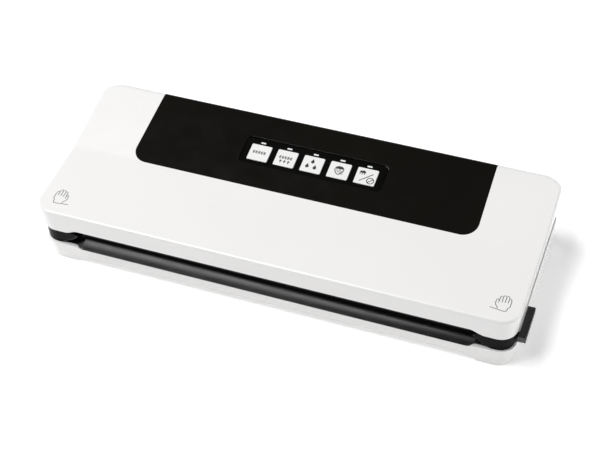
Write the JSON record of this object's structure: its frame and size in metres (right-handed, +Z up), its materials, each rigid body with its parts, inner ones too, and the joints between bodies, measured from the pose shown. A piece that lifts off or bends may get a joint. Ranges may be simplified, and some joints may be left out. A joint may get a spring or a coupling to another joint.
{
  "type": "vacuum sealer",
  "caption": "Long low vacuum sealer with a hinged one-piece white lid, a black control panel with a row of keys, a release button in its right side and a bag slot along the front.",
  "frame": {"origin": "centre of the sealer seen from above, button included, at the level the feet stand on", "axes": "+X along the sealer to the user's right, +Y to the hinge at the back, +Z up"},
  "size_m": [0.3694, 0.14, 0.0601],
  "materials": {
    "white_shell": "glossy white moulded ABS",
    "black_gloss": "high-gloss black moulded plastic",
    "black_satin": "fine satin black moulded plastic",
    "black_matte": "matte black",
    "key_white": "satin white key caps with dark pictograms",
    "clear_lens": "milky translucent light guide",
    "foam": "dark closed-cell foam",
    "silicone": "grey silicone",
    "heat_tape": "brown PTFE-coated glass cloth",
    "phenolic": "brown heat-resistant board",
    "circuit_board": "green solder mask",
    "coil_wrap": "yellow winding tape",
    "rubber": "black rubber",
    "steel": "zinc-plated steel",
    "core_iron": "varnished laminated iron"
  },
  "bodies": {
    "base": {"base_shell": "white_shell", "base_deck": "black_gloss", "equipment_cover": "black_satin", "drip_tray": "black_satin", "pump_head": "black_satin", "suction_port": "black_satin", "vent_port": "black_satin", "lid_switch_left": "black_satin", "lid_switch_right": "black_satin", "lower_gasket": "foam", "suction_hose": "silicone", "vent_hose": "silicone", "heat_tape": "heat_tape", "heater_bar": "phenolic", "power_board": "circuit_board", "transformer_coil": "coil_wrap", "foot_pad_front_left": "rubber", "foot_pad_front_right": "rubber", "foot_pad_back_left": "rubber", "foot_pad_back_right": "rubber", "cord_inlet": "rubber", "sealing_wire": "steel", "pump_motor": "steel", "release_valve": "steel", "release_spring": "steel", "hinge_pin_left": "steel", "hinge_pin_right": "steel", "base_screw_front_left": "steel", "base_screw_front_right": "steel", "base_screw_back_left": "steel", "base_screw_back_right": "steel", "transformer_core": "core_iron"},
    "lid": {"lid_shell": "white_shell", "control_panel": "black_gloss", "lid_liner": "black_satin", "upper_gasket": "foam", "pressure_strip": "silicone", "keypad_bezel": "black_matte", "light_guide": "clear_lens", "keypad_board": "circuit_board", "latch_hook_left": "black_satin", "latch_hook_right": "black_satin", "lid_screw_front_left": "steel", "lid_screw_front_right": "steel", "lid_screw_back_left": "steel", "lid_screw_back_right": "steel"},
    "release_button": {"release_button": "black_satin", "release_link": "black_satin"},
    "key_seal": {"key_seal": "key_white"},
    "key_vacuum_seal": {"key_vacuum_seal": "key_white"},
    "key_moist": {"key_moist": "key_white"},
    "key_gentle": {"key_gentle": "key_white"},
    "key_stop": {"key_stop": "key_white"}
  },
  "joints": [
    {"name": "lid_hinge", "type": "hinge", "parent": "base", "child": "lid", "pos_m": [-0.00215, 0.062, 0.024], "axis": [-1, 0, 0], "range_deg": [0, 65]},
    {"name": "release_button_press", "type": "slide", "parent": "base", "child": "release_button", "axis": [-1, 0, 0], "range_m": [0, 0.003], "stiffness_N_per_m": 500, "springref_m": -0.002},
    {"name": "key_seal_press", "type": "slide", "parent": "lid", "child": "key_seal", "axis": [0, 0.1478, -0.989], "range_m": [0, 0.0008], "stiffness_N_per_m": 800, "springref_m": -0.0005},
    {"name": "key_vacuum_seal_press", "type": "slide", "parent": "lid", "child": "key_vacuum_seal", "axis": [0, 0.1478, -0.989], "range_m": [0, 0.0008], "stiffness_N_per_m": 800, "springref_m": -0.0005},
    {"name": "key_moist_press", "type": "slide", "parent": "lid", "child": "key_moist", "axis": [0, 0.1478, -0.989], "range_m": [0, 0.0008], "stiffness_N_per_m": 800, "springref_m": -0.0005},
    {"name": "key_gentle_press", "type": "slide", "parent": "lid", "child": "key_gentle", "axis": [0, 0.1478, -0.989], "range_m": [0, 0.0008], "stiffness_N_per_m": 800, "springref_m": -0.0005},
    {"name": "key_stop_press", "type": "slide", "parent": "lid", "child": "key_stop", "axis": [0, 0.1478, -0.989], "range_m": [0, 0.0008], "stiffness_N_per_m": 800, "springref_m": -0.0005}
  ]
}
